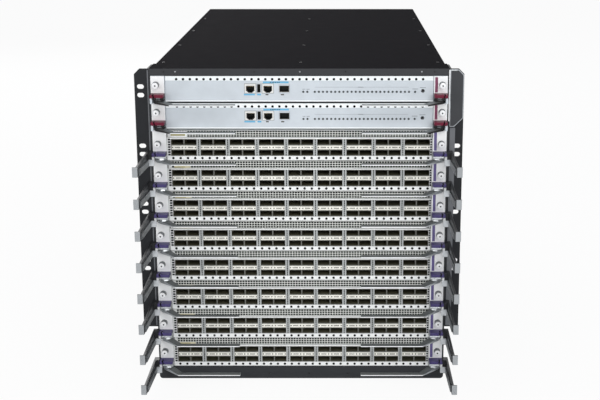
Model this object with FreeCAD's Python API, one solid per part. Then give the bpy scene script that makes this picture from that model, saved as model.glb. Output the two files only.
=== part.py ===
"""Modular chassis switch for a 19-inch rack: two control cards and eight line cards.

Millimetres, +Z up, +X to the right of someone facing the cards.  Every piece is drawn with y = 0 on
the plane of the card faces and y growing to the rear, then moved back by FRONT_Y, so that the origin
is the middle of the base.  Card pieces are drawn above z = 0, the floor of their slot.
"""
import FreeCAD, Part
import math
import os

Vector = FreeCAD.Vector

# ---- chassis ----
BODY_WIDTH = 440.0          # over the front collar
EAR_WIDTH = 21.3            # rack ear beyond the collar, 482.6 over both ears
BODY_DEPTH = 857.0          # card faces to the ends of the rear handles
SHEET = 2.0                 # sheet metal of the chassis
COLLAR_DEPTH = 48.0         # front frame, front to back
TOP_RAIL = 10.0
BOTTOM_RAIL = 20.6
RAIL_CORNER = 5.0           # round of the bottom rail's lower corners
COVER_LIP = 12.0            # folded edges of the top cover
FIT = 0.4                   # play between a card or module and what it slides in
HANDLE_REACH = 27.0         # rear handles beyond the rear faces
FLATS = 8                   # sides of the small pins, holes, knobs and buttons

# ---- slots and cards ----
CONTROL_CARDS = 2
LINE_CARDS = 8
CONTROL_PITCH = 40.5
LINE_PITCH = 46.8
CARD_GAP = 0.6              # free strip above and below a card
FACE = 1.6                  # sheet metal of the card faces
BRACKET_WIDTH = 20.3        # end brackets of a card, beside the face sheet
BRACKET_GAP = 0.5           # joint line between face sheet and end bracket
BRACKET_PROUD = 2.0         # upper end panel in front of the face sheet
BOARD = 2.2                 # circuit board
BOARD_DEPTH = 546.0
LINE_BOARD_RISE = 5.0       # underside of a line card's board above the slot floor
CONTROL_BOARD_RISE = 12.2
GUIDE = 4.0                 # card guide ledge, across
GUIDE_THICK = 2.4
CONTROL_FLANGE = 10.0       # folded top and bottom edges of a control card's face

# ---- ports of a line card ----
PORT_GROUPS = 9
PORT_WIDTH = 17.6
PORT_HEIGHT = 7.6
PORT_DEPTH = 46.0
COLUMN_WALL = 1.8           # between the two ports of a row
ROW_WALL = 8.4              # between the two rows
CAGE_WALL = 1.6             # left and right wall of the cage
CAGE_SKIN = 0.9             # floor and roof of the cage
CAGE_DEPTH = 52.0
CAGE_GAP = 0.2              # cage to the face sheet round it
PORT_EDGE = 3.6             # from the last port to the right edge of the face sheet
PORT_SHIFT = 1.5            # port field to the right of the card's middle
GRILLE_SETBACK = 6.0        # air grille strip behind the port field
GRILLE_BEND = 2.6           # slanted top edge of the grille strip

# ---- jacks of a control card: middle, width, height, opening width, opening height ----
JACKS = {
    "network": (-71.8, 16.4, 13.6, 11.8, 8.4),
    "usb": (-59.2, 6.6, 14.2, 4.6, 12.2),
    "console": (-46.0, 16.4, 13.6, 11.8, 8.4),
    "management": (-22.0, 15.4, 12.4, 13.6, 9.0),
}
JACK_DEPTH = 21.0
JACK_SOCKET = 15.0
RESET_INSET = 15.4          # button from the right edge of the face sheet
RESET_RISE = 17.7
RESET_RADIUS = 1.4
RESET_PLAY = 0.3
RESET_TRAVEL = 1.5
RESET_LENGTH = 8.0
RESET_FLANGE = 2.6          # half width of the flange that keeps the button in

# ---- ejector levers ----
PIN_INSET = 12.7            # hinge pin from the outer edge of the end bracket
PIN_OUT = 9.5               # hinge pin in front of the card face
PIN_RADIUS = 2.0
PIN_PLAY = 0.05
HUB_RADIUS = 8.0            # to the corners of the lever's eight-sided hub
HUB_THICK = 6.3
BLADE_THICK = 3.7
BLADE_DEPTH = 10.0          # blade, front to back
BLADE_OUT = 44.0            # front edge of the blade in front of the card face
LEVER_ROOT = 19.5           # from the pin to where the blade turns parallel to the face
LEVER_LENGTH = 113.5        # from the pin to the tip
LUG_PLAY = 0.2              # lever to the lug above it
LUG_THICK = 2.5
LUG_WIDTH = 15.5
LUG_REACH = 17.5
LUG_CORNER = 5.0
LATCH_THICK = 4.7           # coloured release latch on the lug
CATCH_WIDTH = 3.4           # catch beside the lever, at the bracket's outer edge
CATCH_RISE = 8.6
CATCH_REACH = 14.0

# ---- captive screws ----
SCREW_INSET = 7.7           # from the outer edge of the end bracket
CONTROL_SCREW_RISE = 26.8
LINE_SCREW_RISE = 25.8
KNOB_RADIUS = 5.4
KNOB_LENGTH = 10.0

# ---- cable arms of the line cards ----
ARM_REACH = 107.0           # arm tips in front of the card faces
ARM_CLEAR = 3.0             # inner face of an arm beyond the collar
ARM_THICK = 3.0
ARM_START = 2.0             # arm foot in front of the card face
ARM_TOP = 15.6
ARM_ROOT_HEIGHT = 21.6
ARM_TIP_HEIGHT = 14.6
ARM_TAB = 4.6               # tab turned outward at the tip
ARM_TAB_THICK = 2.0
STRIP_THICK = 1.6           # steel strip along the arm's inner face
STRIP_HEIGHT = 9.4
STRIP_END = 98.0
STRIP_LOWER = 1.2           # strip above the arm's lower edge

# ---- rack ears ----
EAR_THICK = 2.5
EAR_HEIGHT = 400.0
EAR_FLANGE = 40.0           # part bolted along the collar's side
EAR_CORNER = 8.0
RACK_UNIT = 44.45
SLOT_INSET = 8.75           # middle of a slot from the ear's outer edge, 465.1 between slots
SLOT_PAIR = 12.7
SLOT_WIDTH = 6.8
SLOT_LENGTH = 10.3
SLOT_PAIRS = 4
FIRST_PAIR = 33.0           # first pair of slots below the top of the ear
PLATE_HEIGHT = 86.0         # dark plate on the right ear
PLATE_THICK = 3.0
PLATE_INSET = 0.6
PLATE_CORNER = 13.0

# ---- inside and rear ----
MIDPLANE = 4.0
CONNECTOR_WIDTH = 300.0
CONNECTOR_DEPTH = 12.0
CONNECTOR_HEIGHT = 14.0
FABRIC_MODULES = 6
FABRIC_PITCH = 66.0
FABRIC_THICK = 6.0
FABRIC_DEPTH = 60.0
POWER_UNITS = 4
POWER_HEIGHT = 96.0
POWER_DEPTH = 176.0
INLET_WIDTH = 28.0
INLET_HEIGHT = 22.0
INLET_DEPTH = 16.0
TRAY_DEPTH = 150.0
FAN_RADIUS = 79.0           # to the corners of the air passage
FAN_SIDES = 16
FAN_PITCH = 204.0
FAN_FRAME = 164.0           # square frame round the air passage
FAN_FRAME_DEPTH = 60.0
STRUT_WIDTH = 7.0
MOTOR_RADIUS = 22.0
MOTOR_LENGTH = 22.0
SHAFT_RADIUS = 4.0
SHAFT_LENGTH = 28.0
SHAFT_PLAY = 0.05
ROTOR_RADIUS = 73.0         # to the blade tips
ROTOR_HUB = 24.0
ROTOR_LENGTH = 30.0
ROTOR_GAP = 2.0             # rotor to motor
BLADES = 5
BLADE_CHORD = 36.0
BLADE_ROOT = 22.5           # blade's inner end, sunk into the hub
BLADE_SKIN = 2.0
BLADE_PITCH = 35.0          # degrees
HANDLE_WIDTH = 90.0
HANDLE_BAR = 8.0

# ---- places that follow from the sizes above ----
HEIGHT = TOP_RAIL + CONTROL_CARDS * CONTROL_PITCH + LINE_CARDS * LINE_PITCH + BOTTOM_RAIL
FRONT_Y = ARM_REACH - (BODY_DEPTH + ARM_REACH) / 2.0
REAR = BODY_DEPTH - HANDLE_REACH
COLLAR_IN = BODY_WIDTH / 2.0 - SHEET
WALL_IN = COLLAR_IN - SHEET
COVER_TOP = HEIGHT - SHEET
COVER_LOW = COVER_TOP - SHEET
SHELL_FRONT = FACE + FIT
EAR_OUT = BODY_WIDTH / 2.0 + EAR_WIDTH
BRACKET_OUT = COLLAR_IN - FIT * 2.0
BRACKET_IN = BRACKET_OUT - BRACKET_WIDTH
FIELD_WIDTH = 2.0 * (BRACKET_IN - BRACKET_GAP)
LAST_GROUP = FIELD_WIDTH / 2.0 - PORT_EDGE - PORT_WIDTH - COLUMN_WALL / 2.0
GROUP_PITCH = (LAST_GROUP - PORT_SHIFT) * 2.0 / (PORT_GROUPS - 1)
RESET_X = FIELD_WIDTH / 2.0 - RESET_INSET
PIN_X = BRACKET_OUT - PIN_INSET
ELBOW_X = PIN_X - LEVER_ROOT
TIP_X = PIN_X - LEVER_LENGTH
CATCH_X = BRACKET_OUT - CATCH_WIDTH
SCREW_X = BRACKET_OUT - SCREW_INSET
ARM_X = BODY_WIDTH / 2.0 + ARM_CLEAR
BOARD_HALF = WALL_IN - GUIDE * 0.75
MIDPLANE_Y = FACE + BOARD_DEPTH + CONNECTOR_DEPTH
LEVER_TOP = CARD_GAP + HUB_THICK
LUG_LOW = LEVER_TOP + LUG_PLAY
LATCH_LOW = LUG_LOW + LUG_THICK
LATCH_TOP = LATCH_LOW + LATCH_THICK
CAGE_LOW = LINE_BOARD_RISE + BOARD
CAGE_TOP = CAGE_LOW + 2.0 * CAGE_SKIN + 2.0 * PORT_HEIGHT + ROW_WALL
PORT_FIELD_TOP = CAGE_TOP + CAGE_GAP + FACE
POWER_SHELF = SHEET + POWER_HEIGHT + 2.0 * FIT
TRAY_HEIGHT = (COVER_LOW - POWER_SHELF - 2.0 * SHEET - 4.0 * FIT) / 2.0
TRAY_FLOORS = {
    "lower": POWER_SHELF + SHEET + FIT,
    "upper": POWER_SHELF + 2.0 * SHEET + 3.0 * FIT + TRAY_HEIGHT,
}
BAY_FRONT = REAR - max(TRAY_DEPTH, POWER_DEPTH)
CONTROL_FLOORS = [HEIGHT - TOP_RAIL - (i + 1) * CONTROL_PITCH for i in range(CONTROL_CARDS)]
LINE_FLOORS = [BOTTOM_RAIL + (LINE_CARDS - 1 - i) * LINE_PITCH for i in range(LINE_CARDS)]


# ---- shapes ----
def block(x, y, z):
    """Box between the low and high limit along each axis."""
    return Part.makeBox(x[1] - x[0], y[1] - y[0], z[1] - z[0], Vector(x[0], y[0], z[0]))


def prism(points, direction):
    """Flat polygon, extruded along a direction."""
    corners = [Vector(*point) for point in points]
    return Part.Face(Part.makePolygon(corners + corners[:1])).extrude(Vector(*direction))


def bar(start, radius, length, sides, axis, turn=0.0):
    """Regular many-sided bar along +Y or +Z, with the radius measured to its corners."""
    along = {"y": Vector(0, 1, 0), "z": Vector(0, 0, 1)}[axis]
    first = Vector(1, 0, 0)
    second = {"y": Vector(0, 0, 1), "z": Vector(0, 1, 0)}[axis]
    corners = []
    for i in range(sides):
        angle = turn + 2.0 * math.pi * i / sides
        corners.append(Vector(*start) + first * (radius * math.cos(angle)) + second * (radius * math.sin(angle)))
    return Part.Face(Part.makePolygon(corners + corners[:1])).extrude(along * length)


def around(radius):
    """Corner radius of a many-sided hole that leaves this radius free."""
    return radius / math.cos(math.pi / FLATS)


def obround(x, z, length, width, y):
    """Slot along X through the y limits, centred on x and z."""
    half, radius = (length - width) / 2.0, width / 2.0
    low = [Vector(x + side * half, y[0], z - radius) for side in (-1, 1)]
    high = [Vector(x + side * half, y[0], z + radius) for side in (-1, 1)]
    ends = [Vector(x + side * (half + radius), y[0], z) for side in (-1, 1)]
    edges = [
        Part.LineSegment(low[0], low[1]), Part.Arc(low[1], ends[1], high[1]),
        Part.LineSegment(high[1], high[0]), Part.Arc(high[0], ends[0], low[0]),
    ]
    outline = Part.Wire([edge.toShape() for edge in edges])
    return Part.Face(outline).extrude(Vector(0, y[1] - y[0], 0))


def fused(shapes):
    return shapes[0].multiFuse(shapes[1:]).removeSplitter()


def mirrored(shape):
    return shape.mirror(Vector(0, 0, 0), Vector(1, 0, 0))


def both_sides(shape):
    """A piece drawn on the right, with its mirror image on the left."""
    return [mirrored(shape), shape]


def raised(shape, height):
    return shape.translated(Vector(0, 0, height))


def rounded(shape, radius, chosen):
    """Fillet the straight edges that the test picks out by their middle point."""
    edges = [edge for edge in shape.Edges if chosen(edge)]
    return shape.makeFillet(radius, edges)


# ---- chassis ----
def front_frame():
    """Collar round the card bay: top rail, two thin posts and the bottom rail, open at the back."""
    outer = block((-BODY_WIDTH / 2, BODY_WIDTH / 2), (0, COLLAR_DEPTH), (0, HEIGHT))
    outer = rounded(outer, RAIL_CORNER, lambda edge: edge.BoundBox.ZMax < 1.0 and edge.BoundBox.YLength > 1.0)
    bay = block((-COLLAR_IN, COLLAR_IN), (0, COLLAR_DEPTH), (BOTTOM_RAIL, HEIGHT - TOP_RAIL))
    behind_top = block((-COLLAR_IN, COLLAR_IN), (SHEET, COLLAR_DEPTH), (HEIGHT - TOP_RAIL, COVER_TOP))
    behind_bottom = block((-COLLAR_IN, COLLAR_IN), (SHEET, COLLAR_DEPTH), (SHEET, BOTTOM_RAIL - SHEET))
    return outer.cut([bay, behind_top, behind_bottom])


def card_guide(floor, board_rise):
    """Ledge on the right wall that carries a card's board."""
    top = floor + board_rise
    return block((WALL_IN - GUIDE, WALL_IN), (COLLAR_DEPTH, MIDPLANE_Y), (top - GUIDE_THICK, top))


def chassis_shell():
    """Folded floor and sides with the card guides and the rear shelves welded in."""
    wall = fused([
        block((WALL_IN, COLLAR_IN), (COLLAR_DEPTH, REAR), (0, COVER_LOW)),
        block((WALL_IN, COLLAR_IN), (SHELL_FRONT, COLLAR_DEPTH), (BOTTOM_RAIL, COVER_LOW)),
    ])
    guides = [card_guide(floor, CONTROL_BOARD_RISE) for floor in CONTROL_FLOORS]
    guides += [card_guide(floor, LINE_BOARD_RISE) for floor in LINE_FLOORS]
    floor = block((-COLLAR_IN, COLLAR_IN), (COLLAR_DEPTH, REAR), (0, SHEET))
    shelves = [
        block((-COLLAR_IN, COLLAR_IN), (BAY_FRONT, REAR), (low, low + SHEET))
        for low in (POWER_SHELF, TRAY_FLOORS["upper"] - FIT - SHEET)
    ]
    return fused(both_sides(fused([wall] + guides)) + [floor] + shelves)


def top_cover():
    """Flat cover with its two long edges folded down inside the walls."""
    lid = block((-COLLAR_IN, COLLAR_IN), (SHELL_FRONT, REAR), (COVER_LOW, COVER_TOP))
    lip = block((WALL_IN - SHEET, WALL_IN), (COLLAR_DEPTH, REAR), (COVER_LOW - COVER_LIP, COVER_LOW))
    return fused([lid] + both_sides(lip))


def pair_heights():
    """Middle of each pair of slots in the ears."""
    return [HEIGHT - FIRST_PAIR - i * 2 * RACK_UNIT for i in range(SLOT_PAIRS)]


def rack_ear(pairs):
    """Right ear: an angle whose front leaf carries pairs of rack slots."""
    low, high = HEIGHT - EAR_HEIGHT, HEIGHT
    inner, outer = BODY_WIDTH / 2, EAR_OUT
    leaf = prism([
        (inner, 0, low), (outer, 0, low), (outer, 0, high - EAR_CORNER),
        (outer - EAR_CORNER, 0, high), (inner, 0, high),
    ], (0, EAR_THICK, 0))
    side = block((inner, inner + EAR_THICK), (0, EAR_FLANGE), (low, high))
    slots = [
        obround(EAR_OUT - SLOT_INSET, middle + side_of_pair * SLOT_PAIR / 2, SLOT_LENGTH, SLOT_WIDTH, (0, EAR_THICK))
        for middle in pairs for side_of_pair in (-1, 1)
    ]
    return fused([leaf, side]).cut(slots)


def ear_plate():
    """Dark moulded plate over the top of the right ear, cut off at its outer corners."""
    inner, outer = BODY_WIDTH / 2 + PLATE_INSET, EAR_OUT - PLATE_INSET
    high, low = HEIGHT - PLATE_INSET, HEIGHT - PLATE_HEIGHT
    return prism([
        (inner, -PLATE_THICK, low), (outer - PLATE_CORNER, -PLATE_THICK, low),
        (outer, -PLATE_THICK, low + PLATE_CORNER), (outer, -PLATE_THICK, high - EAR_CORNER),
        (outer - EAR_CORNER, -PLATE_THICK, high), (inner, -PLATE_THICK, high),
    ], (0, PLATE_THICK, 0))


def midplane():
    return block((-BOARD_HALF, BOARD_HALF), (MIDPLANE_Y, MIDPLANE_Y + MIDPLANE), (BOTTOM_RAIL, COVER_LOW - COVER_LIP))


def fabric_modules():
    """Upright switching cards behind the midplane."""
    start = MIDPLANE_Y + MIDPLANE
    first = -(FABRIC_MODULES - 1) * FABRIC_PITCH / 2
    cards = []
    for i in range(FABRIC_MODULES):
        middle = first + i * FABRIC_PITCH
        cards.append(block((middle - FABRIC_THICK / 2, middle + FABRIC_THICK / 2),
                           (start, start + FABRIC_DEPTH), (POWER_SHELF, COVER_LOW - COVER_LIP)))
    return cards


# ---- card faces ----
def end_bracket(pitch):
    """Right end bracket: end panel, lug and riveted pin of the lever, and the catch beside it."""
    plate = block((BRACKET_IN, BRACKET_OUT), (0, FACE), (CARD_GAP, pitch - CARD_GAP))
    panel = block((BRACKET_IN, BRACKET_OUT), (-BRACKET_PROUD, FACE), (LATCH_TOP, pitch - CARD_GAP))
    lug = lug_outline(LUG_LOW, LUG_THICK)
    pin = bar((PIN_X, -PIN_OUT, CARD_GAP), PIN_RADIUS, LUG_LOW - CARD_GAP, FLATS, "z")
    catch = block((CATCH_X, BRACKET_OUT), (-CATCH_REACH, 0), (CARD_GAP, CATCH_RISE))
    return fused([plate, panel, lug, pin, catch])


def lug_outline(low, thick):
    """Tongue over the lever's hub, with its two front corners cut off."""
    left, right = PIN_X - LUG_WIDTH / 2, PIN_X + LUG_WIDTH / 2
    return prism([
        (left, 0, low), (left, LUG_CORNER - LUG_REACH, low), (left + LUG_CORNER, -LUG_REACH, low),
        (right - LUG_CORNER, -LUG_REACH, low), (right, LUG_CORNER - LUG_REACH, low), (right, 0, low),
    ], (0, 0, thick))


def port_middles():
    """Middles of the ports of one row, from left to right, two to a group."""
    first = PORT_SHIFT - (PORT_GROUPS - 1) * GROUP_PITCH / 2
    half = (PORT_WIDTH + COLUMN_WALL) / 2
    return [first + i * GROUP_PITCH + side * half for i in range(PORT_GROUPS) for side in (-1, 1)]


def port_limits():
    """Left side of the first port and right side of the last."""
    middles = port_middles()
    return middles[0] - PORT_WIDTH / 2, middles[-1] + PORT_WIDTH / 2


def line_face():
    """Folded face sheet: port field, ledge, set-back grille strip and its slanted top edge."""
    half, back = FIELD_WIDTH / 2, GRILLE_SETBACK
    top, bend = LINE_PITCH - CARD_GAP, LINE_PITCH - CARD_GAP - GRILLE_BEND
    field = block((-half, half), (0, FACE), (CARD_GAP, PORT_FIELD_TOP))
    ledge = block((-half, half), (0, back + FACE), (PORT_FIELD_TOP - FACE, PORT_FIELD_TOP))
    strip = block((-half, half), (back, back + FACE), (PORT_FIELD_TOP, bend))
    slant = prism([
        (-half, back, bend), (-half, back + GRILLE_BEND, top),
        (-half, back + GRILLE_BEND + FACE, top), (-half, back + FACE, bend),
    ], (FIELD_WIDTH, 0, 0))
    left, right = port_limits()
    frame = CAGE_WALL + CAGE_GAP
    aperture = block((left - frame, right + frame), (0, FACE), (CAGE_LOW - CAGE_GAP, CAGE_TOP + CAGE_GAP))
    return fused([field, ledge, strip, slant]).cut(aperture)


def line_panel():
    return [line_face()] + both_sides(end_bracket(LINE_PITCH))


def jack_limits(name, clearance):
    """Left and right, bottom and top of a jack, grown by a clearance."""
    middle, width, height = JACKS[name][:3]
    low = CONTROL_BOARD_RISE + BOARD
    across = (middle - width / 2 - clearance, middle + width / 2 + clearance)
    return across, (low - clearance, low + height + clearance)


def control_face():
    """Flat face with folded top and bottom edges, made up of plain pieces round the jacks and the reset button."""
    half, top = FIELD_WIDTH / 2, CONTROL_PITCH - CARD_GAP
    play = RESET_RADIUS + RESET_PLAY
    holes = [jack_limits(name, CAGE_GAP) for name in JACKS]
    holes.append(((RESET_X - play, RESET_X + play), (RESET_RISE - play, RESET_RISE + play)))
    low, high = min(upward[0] for across, upward in holes), max(upward[1] for across, upward in holes)
    pieces = [
        fused([block((-half, half), (0, CONTROL_FLANGE), (CARD_GAP, CARD_GAP + FACE)),
               block((-half, half), (0, FACE), (CARD_GAP, low))]),
        fused([block((-half, half), (0, CONTROL_FLANGE), (top - FACE, top)),
               block((-half, half), (0, FACE), (high, top))]),
    ]
    left = -half
    for across, upward in sorted(holes):
        pieces.append(block((left, across[0]), (0, FACE), (low, high)))
        for limits in ((low, upward[0]), (upward[1], high)):
            if limits[1] - limits[0] > FIT:
                pieces.append(block(across, (0, FACE), limits))
        left = across[1]
    pieces.append(block((left, half), (0, FACE), (low, high)))
    return pieces


def control_panel():
    return control_face() + both_sides(end_bracket(CONTROL_PITCH))


# ---- card boards ----
def port_cage():
    """Cage for all ports of a card: two long rows, open at the front, and the walls that divide them."""
    left, right = port_limits()
    middles = port_middles()
    inside = (CAGE_GAP, PORT_DEPTH)
    cage = block((left - CAGE_WALL, right + CAGE_WALL), (CAGE_GAP, CAGE_DEPTH), (CAGE_LOW, CAGE_TOP))
    walls = []
    for row in range(2):
        low = CAGE_LOW + CAGE_SKIN + row * (PORT_HEIGHT + ROW_WALL)
        height = (low, low + PORT_HEIGHT)
        cage = cage.cut(block((left, right), inside, height))
        for one, other in zip(middles, middles[1:]):
            walls.append(block((one + PORT_WIDTH / 2, other - PORT_WIDTH / 2), inside, height))
    return [cage] + walls


def board_and_connector(rise):
    """Circuit board with the connector block at its rear edge."""
    end = FACE + BOARD_DEPTH
    board = block((-BOARD_HALF, BOARD_HALF), (FACE, end), (rise, rise + BOARD))
    connector = block((-CONNECTOR_WIDTH / 2, CONNECTOR_WIDTH / 2), (end - CONNECTOR_DEPTH, MIDPLANE_Y),
                      (rise + BOARD, rise + BOARD + CONNECTOR_HEIGHT))
    return [board, connector]


def line_board():
    return board_and_connector(LINE_BOARD_RISE) + port_cage()


def jack(name):
    """Square jack with its socket, standing on the board and flush with the face."""
    across, upward = jack_limits(name, 0)
    middle, width, height, socket_width, socket_height = JACKS[name]
    centre = (upward[0] + upward[1]) / 2
    socket = block((middle - socket_width / 2, middle + socket_width / 2), (0, JACK_SOCKET),
                   (centre - socket_height / 2, centre + socket_height / 2))
    front = block(across, (0, FACE), upward)
    body = block(across, (FACE, JACK_DEPTH), upward)
    return fused([front, body]).cut(socket)


def reset_switch():
    """Small switch on the board, just behind the fully pressed button."""
    start = RESET_LENGTH + RESET_TRAVEL + FIT
    low = CONTROL_BOARD_RISE + BOARD
    return block((RESET_X - RESET_FLANGE, RESET_X + RESET_FLANGE), (start, start + RESET_FLANGE * 2),
                 (low, RESET_RISE + RESET_FLANGE))


def control_board():
    return board_and_connector(CONTROL_BOARD_RISE) + [jack(name) for name in JACKS] + [reset_switch()]


def reset_button():
    """Round button in the face, with the square flange that keeps it in behind the sheet."""
    stem = bar((RESET_X, FIT, RESET_RISE), RESET_RADIUS, RESET_LENGTH - FIT, FLATS, "y")
    flange = block((RESET_X - RESET_FLANGE, RESET_X + RESET_FLANGE), (FACE + FIT, 2 * FACE + FIT),
                   (RESET_RISE - RESET_FLANGE, RESET_RISE + RESET_FLANGE))
    return fused([stem, flange])


# ---- ejector levers, latches, screws and arms ----
def hub_corner(step):
    """Corner of the lever's hub: number 0 is where the outer line from the elbow touches it."""
    dx, dy = ELBOW_X - PIN_X, PIN_OUT - BLADE_OUT
    touch = math.atan2(dy, dx) + math.acos(HUB_RADIUS / math.hypot(dx, dy))
    angle = touch - 2.0 * math.pi * step / FLATS
    return PIN_X + HUB_RADIUS * math.cos(angle), -PIN_OUT + HUB_RADIUS * math.sin(angle), CARD_GAP


def ejector_lever():
    """Right lever, closed: hub on its pin, diagonal root and straight blade along the card."""
    hub = prism([hub_corner(step) for step in range(FLATS)], (0, 0, HUB_THICK))
    front, rear = -BLADE_OUT, BLADE_DEPTH - BLADE_OUT
    blade = prism([
        hub_corner(0), (ELBOW_X, front, CARD_GAP), (TIP_X, front, CARD_GAP),
        (TIP_X, rear, CARD_GAP), (ELBOW_X - BLADE_DEPTH / 2, rear, CARD_GAP), hub_corner(3),
    ], (0, 0, BLADE_THICK))
    bore = bar((PIN_X, -PIN_OUT, CARD_GAP), around(PIN_RADIUS + PIN_PLAY), HUB_THICK, FLATS, "z")
    return fused([hub, blade]).cut(bore)


def release_latch():
    return lug_outline(LATCH_LOW, LATCH_THICK)


def captive_screw(rise):
    """Thumb knob of the screw that holds a card, on the front of its end panel."""
    return bar((SCREW_X, -BRACKET_PROUD - KNOB_LENGTH, rise), KNOB_RADIUS, KNOB_LENGTH, FLATS, "y")


def arm_lower_edge(out):
    """Height of the arm's lower edge at a distance in front of the card face."""
    share = (out - CATCH_REACH) / (ARM_REACH - CATCH_REACH)
    return ARM_TOP - ARM_ROOT_HEIGHT + share * (ARM_ROOT_HEIGHT - ARM_TIP_HEIGHT)


def cable_arm():
    """Right arm: foot beside the catch, tapering blade and outward tab at the tip."""
    root, tip = arm_lower_edge(CATCH_REACH), arm_lower_edge(ARM_REACH)
    foot = block((BRACKET_OUT, ARM_X + ARM_THICK), (-CATCH_REACH, -ARM_START), (root, ARM_TOP))
    blade = prism([
        (ARM_X, -CATCH_REACH, root), (ARM_X, -CATCH_REACH, ARM_TOP),
        (ARM_X, -ARM_REACH, ARM_TOP), (ARM_X, -ARM_REACH, tip),
    ], (ARM_THICK, 0, 0))
    tab = block((ARM_X, ARM_X + ARM_THICK + ARM_TAB), (-ARM_REACH, ARM_TAB_THICK - ARM_REACH), (tip, ARM_TOP))
    return fused([foot, blade, tab])


def arm_strip():
    """Steel strip: a foot across the catch, bent to run along the arm's inner face."""
    root, end = [arm_lower_edge(out) + STRIP_LOWER for out in (CATCH_REACH, STRIP_END)]
    foot = block((CATCH_X, ARM_X), (-CATCH_REACH - STRIP_THICK, -CATCH_REACH), (root, root + STRIP_HEIGHT))
    blade = prism([
        (ARM_X, -CATCH_REACH, root), (ARM_X, -CATCH_REACH, root + STRIP_HEIGHT),
        (ARM_X, -STRIP_END, end + STRIP_HEIGHT), (ARM_X, -STRIP_END, end),
    ], (-STRIP_THICK, 0, 0))
    return fused([foot, blade])


# ---- rear modules ----
def bail(x, z, width):
    """Square pull handle standing out of the rear face."""
    bar = HANDLE_BAR
    loop = block((x - width / 2, x + width / 2), (REAR, REAR + HANDLE_REACH), (z - bar / 2, z + bar / 2))
    grip = block((x - width / 2 + bar, x + width / 2 - bar), (REAR, REAR + HANDLE_REACH - bar),
                 (z - bar / 2, z + bar / 2))
    return loop.cut(grip)


def power_supplies():
    """Row of plug-in power units, each with an inlet and a pull handle."""
    width = 2 * WALL_IN / POWER_UNITS
    low, high = SHEET + FIT, SHEET + FIT + POWER_HEIGHT
    units = []
    for i in range(POWER_UNITS):
        left = -WALL_IN + i * width
        middle = left + width / 2
        body = block((left + FIT, left + width - FIT), (REAR - POWER_DEPTH, REAR), (low, high))
        inlet = block((middle - INLET_WIDTH / 2, middle + INLET_WIDTH / 2), (REAR - INLET_DEPTH, REAR),
                      (low + INLET_HEIGHT / 2, low + INLET_HEIGHT * 1.5))
        units.append(fused([body, bail(middle, high - HANDLE_BAR * 2, width / 2)]).cut(inlet))
    return units


def fan_centres(floor):
    return [(side * FAN_PITCH / 2, floor + TRAY_HEIGHT / 2) for side in (-1, 1)]


def fan_mount(x, z):
    """Cross of struts over the air passage, with the motor and the shaft that carries the rotor."""
    start, reach, half = REAR - SHEET, FAN_RADIUS, STRUT_WIDTH / 2
    level = block((x - reach, x + reach), (start, REAR), (z - half, z + half))
    upright = block((x - half, x + half), (start, REAR), (z - reach, z + reach))
    motor = bar((x, start - MOTOR_LENGTH, z), MOTOR_RADIUS, MOTOR_LENGTH + SHEET, FLATS, "y")
    shaft = bar((x, start - MOTOR_LENGTH - SHAFT_LENGTH, z), SHAFT_RADIUS, SHAFT_LENGTH, FLATS, "y")
    return fused([level, upright, motor, shaft])


def fan_tray(floor):
    """Tray that slides in from the rear: face, base, two square fan frames and the fans' motors."""
    half, middle = WALL_IN - SHEET - FIT, floor + TRAY_HEIGHT / 2
    low, high = middle - FAN_FRAME / 2, middle + FAN_FRAME / 2
    face = block((-half, half), (REAR - SHEET, REAR), (floor, floor + TRAY_HEIGHT))
    base = block((-half, half), (REAR - TRAY_DEPTH, REAR), (floor, floor + SHEET))
    body, passages = [face, base], []
    for x, z in fan_centres(floor):
        left, right = x - FAN_FRAME / 2, x + FAN_FRAME / 2
        body.append(block((left, right), (REAR - FAN_FRAME_DEPTH, REAR), (low, high)))
        passages.append(bar((x, REAR - FAN_FRAME_DEPTH, z), FAN_RADIUS, FAN_FRAME_DEPTH, FAN_SIDES, "y"))
    mounts = [fan_mount(x, z) for x, z in fan_centres(floor)]
    return fused([fused(body).cut(passages), bail(0, middle, HANDLE_WIDTH)] + mounts)


def fan_rotor(x, z):
    """Hub and pitched blades on the motor's shaft."""
    start = REAR - SHEET - MOTOR_LENGTH - ROTOR_GAP - ROTOR_LENGTH
    hub = bar((x, start, z), ROTOR_HUB, ROTOR_LENGTH, 2 * BLADES, "y", math.pi / (2 * BLADES))
    middle = Vector(x, start + ROTOR_LENGTH / 2, z)
    blade = block((x + BLADE_ROOT, x + ROTOR_RADIUS),
                  (middle.y - BLADE_CHORD / 2, middle.y + BLADE_CHORD / 2),
                  (z - BLADE_SKIN / 2, z + BLADE_SKIN / 2))
    blade = blade.rotated(middle, Vector(1, 0, 0), BLADE_PITCH)
    blades = [blade.rotated(middle, Vector(0, 1, 0), i * 360.0 / BLADES) for i in range(BLADES)]
    bore = bar((x, start, z), around(SHAFT_RADIUS + SHAFT_PLAY), ROTOR_LENGTH, FLATS, "y")
    return fused([hub] + blades).cut(bore)


# ---- the whole switch ----
def card_pieces():
    """Panels, boards, levers and buttons, one node each, named from the top slot down."""
    control, line, lever = control_panel(), line_panel(), ejector_lever()
    nodes = {"control_boards": []}
    for number, floor in enumerate(CONTROL_FLOORS, 1):
        nodes[f"control_{number}_panel"] = [raised(piece, floor) for piece in control]
        nodes["control_boards"] += [raised(piece, floor) for piece in control_board()]
        nodes[f"control_{number}_lever_left"] = [raised(mirrored(lever), floor)]
        nodes[f"control_{number}_lever_right"] = [raised(lever, floor)]
        nodes[f"control_{number}_reset"] = [raised(reset_button(), floor)]
    board = line_board()
    for number, floor in enumerate(LINE_FLOORS, 1):
        nodes[f"line_{number}_panel"] = [raised(piece, floor) for piece in line]
        nodes[f"line_{number}_board"] = [raised(piece, floor) for piece in board]
        nodes[f"line_{number}_lever_left"] = [raised(mirrored(lever), floor)]
        nodes[f"line_{number}_lever_right"] = [raised(lever, floor)]
    return nodes


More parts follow.
